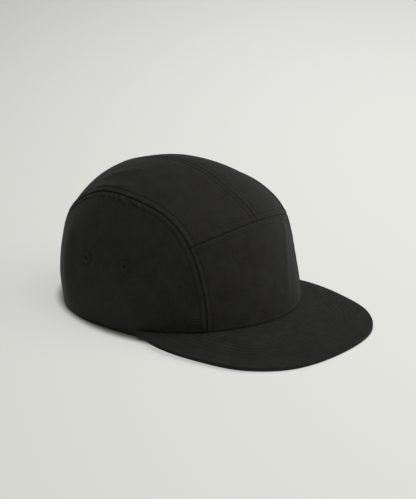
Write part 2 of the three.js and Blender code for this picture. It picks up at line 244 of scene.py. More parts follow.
gather_rise = 0.001
beat_drift = 1.2
valley_beat = 0.38
ease_length = 0.019
ease_start = 2
ease_change = 0.4
hem_radius = 0.0008
deepest_relief = 0.0013
relief_blend = 0.002
weld_distance = 2e-6
shortest_edge = 1e-7
slack_wave = 0.042
slack_growth = 0.35
slack_bend = 0.8
slack_bend_pace = 0.6
slack_swells = [
    dict(way=(1.0, 0.3, -0.6), start=0.4), dict(way=(-0.5, 1.0, 0.4), start=2.1),
    dict(way=(0.3, -0.7, 1.0), start=4.4), dict(way=(0.9, 0.8, 0.5), start=1.2),
]
front_looseness = 0.0001
front_row_spacing = 0.0007
front_column_spacing = 0.0012
panel_samples = 300
firm_seam = dict(groove=0.0010, crest=0.0009, ridge=0.00035, row=0.0038, valley=0.0007, gather=0.00022,
                 reach=0.0016, pucker=0.00004)
top_front_seam = dict(groove=0.0008, crest=0.0010, ridge=0.00025, row=0.0052, valley=0.0005, gather=0.00010,
                      reach=0.0015, pucker=0.00003)
close_steps = np.array([
    0, 0.22, 0.45, 0.7, 1.0, 1.4, 1.9, 2.4, 2.8, 3.15, 3.45, 3.75, 4.05, 4.4, 4.8, 5.4, 6.1, 7.0, 8.0,
]) / 1000


def curve_through(points, at):
    """Smooth curve through points, at numbers that count the points from 0."""
    held = np.vstack([2 * points[0] - points[1], points, 2 * points[-1] - points[-2]])
    at = np.clip(at, 0, len(points) - 1 - 1e-9)
    step = np.floor(at).astype(int)
    share = (at - step)[..., None]
    before, start, end, after = (held[step + ahead] for ahead in range(4))
    bend = 2 * before - 5 * start + 4 * end - after
    twist = 3 * start - before - 3 * end + after
    return 0.5 * (2 * start + (end - before) * share + bend * share**2 + twist * share**3)


centre_line = np.array([
    [0, row["centre_along"] * crown_length, row["centre_up"] * crown_height] for row in crown_sections
])
seam_line = np.array([
    [row["seam_across"] * crown_width / 2, row["seam_along"] * crown_length, row["seam_up"] * crown_height]
    for row in crown_sections
])


def strip_point(across, section):
    """Point of the front and top panels. Across runs from -1 on the right seam to 1 on the left one."""
    centre = curve_through(centre_line, section)
    seam = curve_through(seam_line, section)
    point = centre + (seam - centre) * np.abs(across)[..., None] ** across_power
    point[..., 0] = across * seam[..., 0]
    return point


def raised(point):
    """The rim is level at the back and rises towards the front."""
    ahead = np.maximum(0, level_rim_along - point[..., 1] / crown_length)
    ahead /= level_rim_along - front_rim_along
    share = np.clip(1 - point[..., 2] / crown_height, 0, 1) ** 2
    lifted = point.copy()
    lifted[..., 2] += rim_rise * ahead**rim_rise_power * share
    return lifted


def outward(point):
    """The way out of the crown at a point, as if the crown were half of an egg."""
    way = np.stack([
        point[..., 0] / (crown_width / 2) ** 2,
        point[..., 1] / (crown_length / 2) ** 2,
        np.maximum(0, point[..., 2] - rim_rise) / crown_height**2,
    ], axis=-1)
    return way / np.linalg.norm(way, axis=-1, keepdims=True)


def folded(point):
    """Soft folds where the cloth has more room than the form needs."""
    swell = np.zeros(point.shape[:-1])
    scale = np.array([crown_width / 2, crown_length, crown_height])
    for fold in cloth_folds:
        start = np.array(fold["start"]) * scale
        along = np.array(fold["end"]) * scale - start
        share = np.clip((point - start) @ along / (along @ along), 0, 1)
        distance = np.linalg.norm(point - start - share[..., None] * along, axis=-1)
        swell += fold["height"] * np.exp(-((distance / fold["width"]) ** 2))
    return point + outward(point) * swell[..., None]


def smooth(value, low, high):
    """Soft step from 0 at low to 1 at high."""
    share = np.clip((value - low) / (high - low), 0, 1)
    return share * share * (3 - 2 * share)


def run_along(points, axis):
    """How far each point is along its line of a grid."""
    steps = np.linalg.norm(np.diff(points, axis=axis), axis=-1)
    start = np.zeros_like(np.take(steps, [0], axis=axis))
    return np.concatenate([start, np.cumsum(steps, axis=axis)], axis=axis)


def stops(line, spacing, close_start=True, close_end=True):
    """Shares of the way along a line at which a mesh has points: even, and closer beside a seam."""
    run = run_along(line, 0)
    start = close_steps if close_start else close_steps[:1]
    end = run[-1] - (close_steps if close_end else close_steps[:1])[::-1]
    count = max(2, round((end[0] - start[-1]) / spacing))
    at = np.concatenate([start, np.linspace(start[-1], end[0], count + 1)[1:-1], end])
    return np.interp(at, run, np.linspace(0, 1, len(run)))


def beside(points, line):
    """How far points are from a line of points, and how far along it they are."""
    flat = points.reshape(-1, 3)
    run = run_along(line, 0)
    step = np.diff(line, axis=0)
    size = np.maximum(np.sum(step**2, axis=1), 1e-18)
    distance, along = np.empty(len(flat)), np.empty(len(flat))
    batch = 4000
    for low in range(0, len(flat), batch):
        gap = flat[low:low + batch, None] - line[:-1]
        share = np.clip(np.sum(gap * step, axis=2) / size, 0, 1)
        away = np.linalg.norm(gap - share[..., None] * step, axis=2)
        near = np.argmin(away, axis=1)
        pick = np.arange(len(near))
        distance[low:low + batch] = away[pick, near]
        along[low:low + batch] = run[near] + share[pick, near] * np.sqrt(size[near])
    return distance.reshape(points.shape[:-1]), along.reshape(points.shape[:-1])


def seam_relief(distance, run, seam):
    """Height of the cloth beside a seam: groove, ridge of the turned edge, valley of the row, puckers."""
    row, crest = seam["row"], seam["crest"]
    past = np.maximum(0, distance - row)
    drift = sum(wave["share"] * np.sin(run / wave["length"] + wave["start"]) for wave in row_drifts)
    beat = np.cos(2 * np.pi * run / stitch_pitch + beat_drift * drift)
    relief = -seam["groove"] * np.exp(-((distance / groove_width) ** 2))
    ridge_end = 1 - smooth(distance, crest, row + row_valley_width)
    relief += seam["ridge"] * smooth(distance, 0, crest) * ridge_end
    pull = 1 - valley_beat + valley_beat * beat
    relief -= seam["valley"] * pull * np.exp(-(((distance - row) / row_valley_width) ** 2))
    ease = 1 - ease_change + ease_change * np.sin(run / ease_length + ease_start)
    spread = smooth(distance, row, row + gather_rise) * np.exp(-((past / seam["reach"]) ** 2))
    relief += seam["gather"] * ease * beat * spread
    slant = 2 * np.pi * (run / pucker_pitch + pucker_drift * drift + distance / pucker_slant)
    strength = calm_pucker + strong_pucker * np.exp(-(((run - pucker_middle) / pucker_spread) ** 2))
    fade = smooth(distance, pucker_from, pucker_full) * np.exp(-((past / pucker_reach) ** 2))
    return relief + seam["pucker"] * strength * np.sin(slant) * fade


def slack(points, height, wave):
    """Soft unevenness of cloth that nothing stretches."""
    total = np.zeros(points.shape[:-1])
    for number, swell in enumerate(slack_swells):
        pace = 2 * np.pi / (wave * (1 + slack_growth * number))
        bend = slack_bend * np.sin(points[..., (number + 1) % 3] * pace * slack_bend_pace + swell["start"])
        total += np.sin(points @ np.array(swell["way"]) * pace + swell["start"] + bend)
    return height * total / len(slack_swells)


def add_piece(name, points, faces, finish, weave=None, replaced=()):
    """One piece of the cap, from points round the crown's middle, with its weave's directions if any."""
    mesh = bpy.data.meshes.new(name)
    mesh.from_pydata((points + np.array(crown_middle)).tolist(), [], faces)
    if weave is not None:
        corner = np.zeros(len(mesh.loops), dtype=np.int32)
        mesh.loops.foreach_get("vertex_index", corner)
        mesh.uv_layers.new(name="weave").data.foreach_set("uv", weave[corner].astype(np.float32).ravel())
    shape = bmesh.new()
    shape.from_mesh(mesh)
    bmesh.ops.remove_doubles(shape, verts=shape.verts, dist=weld_distance)
    bmesh.ops.dissolve_degenerate(shape, edges=shape.edges, dist=shortest_edge)
    bmesh.ops.recalc_face_normals(shape, faces=shape.faces)
    shape.to_mesh(mesh)
    shape.free()
    mesh.shade_smooth()
    mesh.materials.append(finish)
    piece = link_object(name, mesh)
    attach(piece, "root")
    if replaced:
        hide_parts(*replaced)
    return piece


def quads_of(grid):
    """Faces between neighbours in a grid of point numbers."""
    corners = [grid[:-1, :-1], grid[1:, :-1], grid[1:, 1:], grid[:-1, 1:]]
    return np.stack(corners, -1).reshape(-1, 4).tolist()


def numbered(grid):
    """The number of each point in a grid of points."""
    return np.arange(grid.size // 3).reshape(grid.shape[:2])


def tube_faces(rings):
    """Faces of a tube with flat ends, from the numbers of the points in its rings."""
    skin = quads_of(np.hstack([rings, rings[:, :1]]))
    return skin + [rings[0].tolist(), rings[-1][::-1].tolist()]


def wall_faces(rows, columns, coarse=4):
    """Faces of a closed wall: a fine outer grid, and an inner grid with a point for every few outer ones."""
    outer = np.arange(rows * columns).reshape(rows, columns)
    row_picks = sorted({*range(0, rows, coarse), rows - 1})
    column_picks = sorted({*range(0, columns, coarse), columns - 1})
    inner = rows * columns + np.arange(len(row_picks) * len(column_picks))
    inner = inner.reshape(len(row_picks), len(column_picks))
    faces = quads_of(outer) + quads_of(inner)
    edges = [
        (outer[0], inner[0], column_picks), (outer[-1], inner[-1], column_picks),
        (outer[:, 0], inner[:, 0], row_picks), (outer[:, -1], inner[:, -1], row_picks),
    ]
    for fine, rough, picks in edges:
        for number, (low, high) in enumerate(zip(picks, picks[1:])):
            faces.append([*fine[low:high + 1].tolist(), int(rough[number + 1]), int(rough[number])])
    return faces, np.ix_(row_picks, column_picks)


def facing(points, way):
    """The way that each point of a grid faces, on the same side as a rough way."""
    normal = np.cross(np.gradient(points, axis=0), np.gradient(points, axis=1))
    length = np.linalg.norm(normal, axis=-1, keepdims=True)
    least = 1e-13
    normal = np.where(length > least, normal / np.maximum(length, least), way)
    return normal * np.where(np.sum(normal * way, axis=-1, keepdims=True) < 0, -1, 1)


def sew_panel(name, base, seams, rim, weave, finish, node, looseness, dents=0):
    """A panel as a closed wall of cloth, from the grid of points of its plain outer face."""
    relief = slack(base, looseness, slack_wave) + dents
    fields = []
    for line, seam in seams:
        distance, run = beside(base, line)
        fields.append(distance)
        relief += seam_relief(distance, run, seam)
    to_rim, _ = beside(base, rim)
    relief -= hem_radius - np.sqrt(hem_radius**2 - np.maximum(0, hem_radius - to_rim) ** 2)
    relief = np.maximum(relief, -deepest_relief)
    way = outward(base)
    inland = smooth(np.minimum(to_rim, np.min(fields, axis=0)), 0, relief_blend)[..., None]
    lift = way * (1 - inland) + facing(base, way) * inland
    lift /= np.linalg.norm(lift, axis=-1, keepdims=True)
    outer = base + lift * relief[..., None]
    faces, picks = wall_faces(*base.shape[:2])
    inner = (base - way * cloth_thickness)[picks]
    points = np.concatenate([outer.reshape(-1, 3), inner.reshape(-1, 3)])
    coords = np.concatenate([weave.reshape(-1, 2), weave[picks].reshape(-1, 2)])
    panel = add_piece(name, points, faces, finish, coords, [node])
    return panel, outer, lift, fields


def sewing_row(field, outer, lift, offset):
    """Where lines of points that lead away from a seam are an offset from it, and the way up there."""
    places, ups = [], []
    for marks, line, up in zip(field, outer, lift):
        peak = int(np.argmax(marks))
        if marks[peak] > offset and peak > 0:
            places.append([np.interp(offset, marks[:peak + 1], line[:peak + 1, k]) for k in range(3)])
            ups.append([np.interp(offset, marks[:peak + 1], up[:peak + 1, k]) for k in range(3)])
    return np.array(places), np.array(ups)


def add_stitches(name, rows, finish):
    """Stitches along rows: short lengths of thread that dive into the cloth at both ends."""
    ring_along = np.array([-1, -0.8, -0.35, 0.35, 0.8, 1]) * stitch_length / 2
    ring_radius = np.array([0.3, 0.85, 1, 1, 0.85, 0.3]) * thread_radius
    ring_rise = np.array([-1.3, -0.2, 0.45, 0.45, -0.2, -1.3]) * thread_radius
    turn = 2 * np.pi * np.arange(thread_sides) / thread_sides
    points, faces, start = [], [], 0
    for line, ups in rows:
        run = run_along(line, 0)
        at = np.arange(stitch_pitch, run[-1] - stitch_pitch / 2, stitch_pitch)[:, None] + ring_along
        base = np.stack([np.interp(at, run, line[:, k]) for k in range(3)], -1)
        up = np.stack([np.interp(at, run, ups[:, k]) for k in range(3)], -1)
        side = np.cross(base[:, -1:] - base[:, :1], up)
        side /= np.linalg.norm(side, axis=-1, keepdims=True)
        middle = base + up * ring_rise[:, None]
        tube = middle[:, :, None] + ring_radius[:, None, None] * (
            up[:, :, None] * np.sin(turn)[:, None] + side[:, :, None] * np.cos(turn)[:, None]
        )
        points.append(tube.reshape(-1, 3))
        ring = np.arange(len(ring_along) * thread_sides).reshape(-1, thread_sides)
        for _ in at:
            faces += tube_faces(start + ring)
            start += ring.size
    return add_piece(name, np.concatenate(points), faces, finish)


def noise(tree, place, scale, detail, roughness=0.5):
    """Output of a noise node."""
    return add_node(tree, "ShaderNodeTexNoise", {
        "Vector": place, "Scale": scale, "Detail": detail, "Roughness": roughness,
    }).outputs["Fac"]


def roughen(tree, shader, height, bump, depth):
    """Make a finish look uneven by a height."""
    relief = add_node(tree, "ShaderNodeBump", {"Height": height, "Strength": bump, "Distance": depth})
    tree.links.new(relief.outputs["Normal"], shader.inputs["Normal"])


def cloth_finish(name, dark, light, thread_pitch, weave="plain", bump=0.35):
    """Matte woven cloth: a weave along its grain, uneven threads, loose fibres, and a faint mottle."""
    finish, tree, shader = new_finish(
        name, Roughness=0.88, Specular_IOR_Level=0.2, Sheen_Weight=0.085, Sheen_Roughness=0.4,
    )
    grain = add_node(tree, "ShaderNodeUVMap", uv_map="weave").outputs["UV"]
    split = add_node(tree, "ShaderNodeSeparateXYZ", {"Vector": grain})
    across, along = split.outputs["X"], split.outputs["Y"]
    if weave == "twill":
        across = combined(tree, "ADD", across, along)
    pace = math.pi / thread_pitch
    waves = [combined(tree, "SINE", combined(tree, "MULTIPLY", way, pace)) for way in (across, along)]
    threads = waves[0] if weave in ("twill", "rib") else combined(tree, "MULTIPLY", *waves)
    place = add_node(tree, "ShaderNodeTexCoord").outputs["Object"]
    fuzz = noise(tree, place, fibre_scale, detail=4.0)
    mottle = noise(tree, place, mottle_scale, detail=7.0, roughness=0.65)
    shade = combined(tree, "MULTIPLY_ADD", fuzz, fuzz_share, mottle)
    for stretch in streak_shapes:
        stretched = combined(tree, "MULTIPLY", grain, stretch, vectors=True)
        change = combined(tree, "SUBTRACT", noise(tree, stretched, scale=1.0, detail=3.0), middle_noise)
        shade = combined(tree, "MULTIPLY_ADD", change, streak_strength, shade)
    tint = add_node(tree, "ShaderNodeValToRGB", {"Fac": shade})
    for end, position, colour in zip(tint.color_ramp.elements, tint_range, (dark, light)):
        end.position = position
        end.color = (*colour, 1)
    tree.links.new(tint.outputs["Color"], shader.inputs["Base Color"])
    height = combined(tree, "MULTIPLY_ADD", threads, thread_share, fuzz)
    roughen(tree, shader, height, bump, thread_pitch / 3)
    return finish


def grained_finish(name, colour, grain_size, roughness, specular, bump):
    """One colour with a fine grain, such as the fibres of a thread or the skin of moulded plastic."""
    finish, tree, shader = new_finish(name, Roughness=roughness, Specular_IOR_Level=specular)
    place = add_node(tree, "ShaderNodeTexCoord").outputs["Object"]
    grain = noise(tree, place, 1 / grain_size, detail=4.0)
    tint = add_node(tree, "ShaderNodeValToRGB", {"Fac": grain})
    for end, share in zip(tint.color_ramp.elements, grain_contrast):
        end.position = share / 2
        end.color = (*(share * part for part in colour), 1)
    tree.links.new(tint.outputs["Color"], shader.inputs["Base Color"])
    roughen(tree, shader, grain, bump, grain_size / 3)
    return finish


crown_cotton = cloth_finish(
    "crown_cotton", (0.0136, 0.0131, 0.0118), (0.0209, 0.0203, 0.0187), cloth_thread_pitch,
)
sewing_thread = grained_finish(
    "sewing_thread", (0.0135, 0.0131, 0.0121), thread_grain, roughness=0.8, specular=0.3, bump=0.5,
)

halfway = np.full(panel_samples, 0.5)
rows = stops(strip_point(halfway, np.linspace(0, front_seam_section, panel_samples)), front_row_spacing)
cross_line = strip_point(np.linspace(-1, 1, panel_samples), np.full(panel_samples, 1.0))
columns = stops(cross_line, front_column_spacing)
section, across = np.meshgrid(rows * front_seam_section, columns * 2 - 1, indexing="ij")
base = folded(raised(strip_point(across, section)))
_, outer, lift, fields = sew_panel(
    "front_panel_cloth", base,
    [(base[:, 0], firm_seam), (base[:, -1], firm_seam), (base[-1], top_front_seam)],
    base[0], np.stack([run_along(base, 1), run_along(base, 0)], -1), crown_cotton, "front_panel",
    front_looseness,
)
add_stitches("front_panel_stitches", [
    sewing_row(fields[0], outer, lift, firm_seam["row"]),
    sewing_row(fields[1][:, ::-1], outer[:, ::-1], lift[:, ::-1], firm_seam["row"]),
    sewing_row(*(grid[::-1].swapaxes(0, 1) for grid in (fields[2], outer, lift)), top_front_seam["row"]),
], sewing_thread)

# Top panels
# Two panels run from the front panel over the top and down the back, joined along the middle. Their lower
# ends are cut to an arch over the strap, turned in and stitched round.
arch_height = 0.043
arch_margin = 0.0095
top_side_seam = dict(groove=0.0008, crest=0.0010, ridge=0.00055, row=0.0046, valley=0.0007, gather=0.00014,
                     reach=0.0020, pucker=0.00010)
centre_seam = dict(groove=0.0003, crest=0.0010, ridge=0.00030, row=0.0048, valley=0.00055, gather=0.00012,
                   reach=0.0015, pucker=0.00004)
front_edge_seam = dict(groove=0.0008, crest=0.0012, ridge=0.00028, row=0.0052, valley=0.0007, gather=0.00014,
                       reach=0.0020, pucker=0.00004)
arch_row = 0.0035
arch_columns = 44
closest_columns = 0.0015
widest_section = 5.0
top_looseness = 0.0004
top_row_spacing = 0.0008
top_samples = 600
back_samples = 400
half_samples = 200
arch_sections = 2

seam_half_width = curve_through(seam_line, np.array(float(last_section)))[0]
arch_across = 1 - arch_margin / seam_half_width
back_sections = np.linspace(last_section, last_section - arch_sections, back_samples)
back_levels = curve_through(centre_line, back_sections)[:, 2]
arch_top_section = float(np.interp(arch_height, back_levels, back_sections))

top_line = strip_point(
    np.full(top_samples, 0.5), np.linspace(front_seam_section, last_section, top_samples),
)
rows = stops(top_line, top_row_spacing)
widest_line = strip_point(np.linspace(0, 1, half_samples), np.full(half_samples, widest_section))
half_width = run_along(widest_line, 0)[-1]
near_middle = close_steps / half_width
near_seam = 1 - close_steps / half_width
spread = arch_across * np.sin(np.linspace(0, np.pi / 2, arch_columns))
between_seams = spread[(spread > near_middle[-1]) & (spread < near_seam[-1])]
columns = np.unique(np.concatenate([near_middle, between_seams, near_seam]))
columns = columns[np.concatenate([[True], np.diff(columns) > closest_columns])]
columns[-1] = 1
arch_level = np.sqrt(np.maximum(0, 1 - (columns / arch_across) ** 2))
ends = last_section + (arch_top_section - last_section) * arch_level
section = front_seam_section + rows[:, None] * (ends - front_seam_section)
for side, hand in (("right", -1), ("left", 1)):
    base = folded(raised(strip_point(hand * np.broadcast_to(columns, section.shape), section)))
    _, outer, lift, fields = sew_panel(
        f"top_panel_{side}_cloth", base,
        [(base[:, -1], top_side_seam), (base[:, 0], centre_seam), (base[0], front_edge_seam)],
        base[-1], np.stack([run_along(base, 1), run_along(base, 0)], -1), crown_cotton,
        f"top_panel_{side}", top_looseness,
    )
    to_arch, _ = beside(base, base[-1])
    add_stitches(f"top_panel_{side}_stitches", [
        sewing_row(fields[0][:, ::-1], outer[:, ::-1], lift[:, ::-1], top_side_seam["row"]),
        sewing_row(fields[1], outer, lift, centre_seam["row"]),
        sewing_row(*(grid.swapaxes(0, 1) for grid in (fields[2], outer, lift)), front_edge_seam["row"]),
        sewing_row(*(grid[::-1].swapaxes(0, 1) for grid in (to_arch, outer, lift)), arch_row),
    ], sewing_thread)

# Side panels
# A panel with a round top on each side, flat-sewn into the others. It is the least stretched, so it puckers
# along its seam and folds softly towards the rim. Two holes let air through, one behind the other.
side_middle = np.array([crown_width / 2, 0.043 * crown_length, 0])
side_power_rim = 2.63
side_power_top = 3.18
side_seam = dict(groove=0.0008, crest=0.0029, ridge=0.00045, row=0.0046, valley=0.00036, gather=0.00018,
                 reach=0.0042, pucker=0.00034)
eyelet_places = [dict(name="front", section=3.02, out=0.573), dict(name="rear", section=4.95, out=0.527)]
hole_radius = 0.0022
eyelet_radius = 0.00475
dish_radius = 0.0085
dish_depth = 0.0004
rim_groove = 0.0005
rim_groove_width = 0.0009
pleat_height = 0.00012
pleat_count = 9
pleat_lean = 2
pleat_middle = 0.002
pleat_reach = 0.0022
side_looseness = 0.00032
side_row_spacing = 0.0014
side_columns = 500
punch_reach = 3 * hole_radius
punch_sides = 24


def side_point(hand, out, section):
    """Point of a side panel. Out runs from 0 at the middle of its rim to 1 on its seam."""
    seam = curve_through(seam_line, section)
    power = side_power_rim + (side_power_top - side_power_rim) * np.sin(np.pi * section / last_section)
    point = side_middle + (seam - side_middle) * out[..., None]
    point[..., 0] = hand * (side_middle[0] + (seam[..., 0] - side_middle[0]) * out**power)
    return point


def eyelet_frame(hand, place):
    """Middle of an eyelet on the cloth, the way that it faces, and two directions along the cloth."""
    step = 0.01
    out = np.array([place["out"], place["out"] + step, place["out"]])
    section = np.array([place["section"], place["section"], place["section"] + step])
    centre, further, beyond = folded(raised(side_point(hand, out, section)))
    normal = np.cross(further - centre, beyond - centre)
    normal *= hand * np.sign(normal[0]) / np.linalg.norm(normal)
    level = np.cross(normal, [0, 0, 1])
    level /= np.linalg.norm(level)
    return centre, normal, level, np.cross(level, normal)


def ring_points(frame_of, profile, sides):
    """Grid of points round an eyelet's axis, from radii and heights over the cloth."""
    centre, normal, level, up = frame_of
    turn = 2 * np.pi * np.arange(sides + 1) / sides
    around = np.cos(turn)[:, None] * level + np.sin(turn)[:, None] * up
    return np.array([centre + radius * around + height * normal for radius, height in profile])


def eyelet_dent(points, frame_of):
    """The thread draws the cloth in round an eyelet, in a shallow dish with a groove and small pleats."""
    centre, _, level, up = frame_of
    gap = points - centre
    distance = np.linalg.norm(gap, axis=-1)
    angle = np.arctan2(gap @ up, gap @ level)
    dish = dish_depth * np.exp(-((distance / dish_radius) ** 4))
    groove = rim_groove * np.exp(-(((distance - eyelet_radius) / rim_groove_width) ** 2))
    fade = np.exp(-(((distance - eyelet_radius - pleat_middle) / pleat_reach) ** 2))
    pleats = pleat_height * np.cos(pleat_count * angle + pleat_lean * np.sin(2 * angle)) * fade
    return pleats - dish - groove


turn = np.linspace(0, np.pi, side_columns)
tallest_line = side_point(1, np.linspace(0, 1, panel_samples), np.full(panel_samples, last_section / 2))
height = stops(tallest_line, side_row_spacing)
up, turn = np.meshgrid(height, turn, indexing="ij")
out = np.hypot(np.cos(turn), up * np.sin(turn))
section = np.arctan2(up * np.sin(turn), np.cos(turn)) / np.pi * last_section
for side, hand in (("right", -1), ("left", 1)):
    base = folded(raised(side_point(hand, out, section)))
    dents = sum(eyelet_dent(base, eyelet_frame(hand, place)) for place in eyelet_places)
    panel, outer, lift, fields = sew_panel(
        f"side_panel_{side}_cloth", base, [(base[-1], side_seam)], base[0],
        np.stack([base[..., 1], run_along(base, 0)], -1), crown_cotton, f"side_panel_{side}",
        side_looseness, dents,
    )
    for place in eyelet_places:
        profile = [(hole_radius, -punch_reach), (hole_radius, punch_reach)]
        tube = ring_points(eyelet_frame(hand, place), profile, punch_sides)[:, :-1]
        punch_mesh = bpy.data.meshes.new("punch")
        tube_points = (tube.reshape(-1, 3) + np.array(crown_middle)).tolist()
        punch_mesh.from_pydata(tube_points, [], tube_faces(numbered(tube)))
        punch = link_object("punch", punch_mesh)
        cut = panel.modifiers.new("hole", "BOOLEAN")
        cut.object = punch
        cut.operation = "DIFFERENCE"
        cut.solver = "EXACT"
        bpy.context.view_layer.update()
        punched = panel.evaluated_get(bpy.context.evaluated_depsgraph_get())
        panel.data = bpy.data.meshes.new_from_object(punched)
        panel.modifiers.clear()
        bpy.data.objects.remove(punch)
    add_stitches(f"side_panel_{side}_stitches", [
        sewing_row(*(grid[::-1].swapaxes(0, 1) for grid in (fields[0], outer, lift)), side_seam["row"]),
    ], sewing_thread)

# Eyelets
# Each hole in a side panel is bound with thread: close stitches fan out from the hole over the cloth on
# both faces, and hide its cut edge.
eyelet_back_radius = 0.004
eyelet_bore = 0.0009
fan_count = 46
fan_thread = 0.00030
fan_widest = 0.0045
fan_narrowest = 0.4
fan_flatness = 0.8
bed_section = [
    (eyelet_bore, -0.0019), (eyelet_back_radius - 0.0003, -0.0019), (eyelet_back_radius, -0.0016),
    (hole_radius - 0.0002, -0.0015), (hole_radius - 0.0002, 0.0001), (eyelet_radius - 0.0002, 0.0001),
    (eyelet_radius - 0.0006, 0.0004), (eyelet_radius - 0.0017, 0.00062),
    (eyelet_bore + 0.0006, 0.00062), (eyelet_bore + 0.0002, 0.0003), (eyelet_bore, -0.0019),
]
front_stitch = [
    (0.00088, -0.0006), (0.0011, 0.0003), (0.0018, 0.00068), (0.0031, 0.00068), (0.0041, 0.00042),
    (0.0047, 0.0), (0.0048, -0.0004),
]
back_stitch = [
    (0.00088, -0.0012), (0.0011, -0.0019), (0.0018, -0.0022), (0.0029, -0.0022), (0.0037, -0.002),
    (0.0040, -0.0015),
]

eyelet_thread = grained_finish(
    "eyelet_thread", (0.0146, 0.0142, 0.0130), thread_grain, roughness=0.75, specular=0.35, bump=0.5,
)
turns = 2 * np.pi * np.arange(thread_sides) / thread_sides
for side, hand in (("right", -1), ("left", 1)):
    for place in eyelet_places:
        centre, normal, level, upright = eyelet_frame(hand, place)
        centre = centre - dish_depth * normal
        grid = ring_points((centre, normal, level, upright), bed_section, fan_count)
        points = [grid.reshape(-1, 3)]
        faces = quads_of(numbered(grid))
        start = grid.size // 3
        for path in (np.array(front_stitch), np.array(back_stitch)):
            width = fan_thread * np.clip(path[:, 0] / fan_widest, fan_narrowest, 1)
            for number in range(fan_count):
                angle = 2 * np.pi * number / fan_count
                ray = math.cos(angle) * level + math.sin(angle) * upright
                across_ray = np.cross(ray, normal)
                spine = centre + path[:, :1] * ray + path[:, 1:] * normal
                ahead = np.gradient(spine, axis=0)
                ahead /= np.linalg.norm(ahead, axis=1, keepdims=True)
                over = np.cross(across_ray, ahead) * fan_flatness
                tube = spine[:, None] + width[:, None, None] * (
                    np.cos(turns)[:, None] * across_ray + np.sin(turns)[:, None] * over[:, None]
                )
                faces += tube_faces(start + numbered(tube))
                points.append(tube.reshape(-1, 3))
                start += tube.size // 3
        node = f"eyelet_{side}_{place['name']}"
        add_piece(f"{node}_thread", np.concatenate(points), faces, eyelet_thread,
                  replaced=[node])

# Peak
# A stiff board between two pieces of the same cotton, joined along the edge. Rows of stitches follow the
# edge from one side of the crown round to the other. Its inner edge is sewn under the crown's rim.
peak_side_overhang = 0.004
peak_corner_overhang = 0.0015
peak_thickness = 0.003
peak_edge = [
    dict(across=0.995, along=-0.304, reach=0),
    dict(across=0.967, along=-0.462, reach=0),
    dict(across=0.83, along=-0.513, reach=0.449),
    dict(across=0.503, along=-0.513, reach=0.878),
    dict(across=0, along=-0.513, reach=1),
]
peak_corner_along = -0.164
peak_droop_power = 1.22
peak_gap = 0.0003
edge_round = 0.0014
edge_swell = 0.0012
peak_row_insets = 0.014 + 0.0041 * np.arange(5)
row_groove = 0.00022
row_groove_width = 0.0006
row_beat = 0.25
peak_looseness = 0.00025
peak_slack_wave = 0.05
peak_rows = 140
peak_under_rows = 30
outline_spacing = 0.0011
close_from = 0.93
close_rows = 8
calm_edge = 0.05
edge_steps = 10
edge_fullness = 0.85
edge_seam_depth = 0.2
edge_seam_reach = 0.25
side_turn = 2
flank_samples = 400
outline_samples = 2000


def rim_point(turn):
    """Point of the rim. Turn is 0 at the front, 1 at a side seam's front end and 2 at a side's middle."""
    size = np.abs(turn)
    hand = np.where(turn < 0, -1, 1)
    front = strip_point(np.clip(turn, -1, 1), np.zeros_like(turn))
    flank = side_point(hand, np.clip(side_turn - size, 0, 1), np.zeros_like(turn))
    return raised(np.where((size <= 1)[..., None], front, flank))


flank_turns = np.linspace(1, side_turn, flank_samples)
corner_turn = float(np.interp(peak_corner_along * crown_length, rim_point(flank_turns)[:, 1], flank_turns))
corner = rim_point(np.array(corner_turn))
corner_top = corner[2] - peak_gap
corner = corner + outward(corner) * peak_corner_overhang
half_outline = [[corner[0], corner[1], 0]] + [
    [row["across"] * (crown_width / 2 + peak_side_overhang),
     row["along"] * crown_length - row["reach"] * peak_reach, 0]
    for row in peak_edge
]
outline = np.array([[-x, y, z] for x, y, z in half_outline[:-1]] + half_outline[::-1])
spans = len(outline) - 1
whole_outline = curve_through(outline, np.linspace(0, spans, outline_samples))
share = stops(whole_outline, outline_spacing, False, False) * 2 - 1
edge_line = curve_through(outline, (share + 1) / 2 * spans)
ahead = np.clip((corner[1] - edge_line[:, 1]) / (corner[1] - outline[spans // 2][1]), 0, 1)
edge_line[:, 2] = corner_top + (peak_thickness - corner_top) * ahead**peak_droop_power
rim_line = rim_point(share * corner_turn)
inner_line = rim_line - outward(rim_line) * cloth_thickness - np.array([0, 0, peak_gap])
edge_way = np.cross(np.gradient(edge_line, axis=0), [0, 0, 1])
edge_way /= np.linalg.norm(edge_way, axis=1, keepdims=True)
edge_way *= -np.sign(edge_way[len(share) // 2][1])
edge_line = edge_line + edge_way * edge_swell
turned_line = edge_line - edge_way * edge_round


def peak_top(out):
    """Line across the peak's top, at shares of the way from the crown to the edge."""
    return inner_line + (turned_line - inner_line) * np.reshape(out, (-1, 1))


outs = np.concatenate([np.linspace(0, close_from, peak_rows), np.linspace(close_from, 1, close_rows)[1:]])
top = np.stack([peak_top(out) for out in outs])
relief = slack(top, peak_looseness, peak_slack_wave)
level = np.array([1, 1, 0])
inset, run = beside(top * level, edge_line * level)
beat = 1 - row_beat + row_beat * np.cos(2 * np.pi * run / stitch_pitch)
for row in peak_row_insets:
    relief -= row_groove * beat * np.exp(-(((inset - row) / row_groove_width) ** 2))
relief *= smooth(1 - outs, 0, calm_edge)[:, None]
top = top + np.array([0, 0, 1]) * relief[..., None]
turns = np.linspace(np.pi / 2, -np.pi / 2, edge_steps)[1:-1]
half_thick = peak_thickness / 2
edge_middle = turned_line - np.array([0, 0, half_thick])
edge = []
for angle in turns:
    seam_dent = 1 - edge_seam_depth * math.exp(-((angle / edge_seam_reach) ** 2))
    beyond = edge_round * math.cos(angle) ** edge_fullness * seam_dent
    over = half_thick * math.copysign(abs(math.sin(angle)) ** edge_fullness, angle)
    edge.append(edge_middle + edge_way * beyond + np.array([0, 0, over]))
under = np.stack([
    peak_top(out) - np.array([0, 0, peak_thickness]) for out in np.linspace(1, 0, peak_under_rows)
])
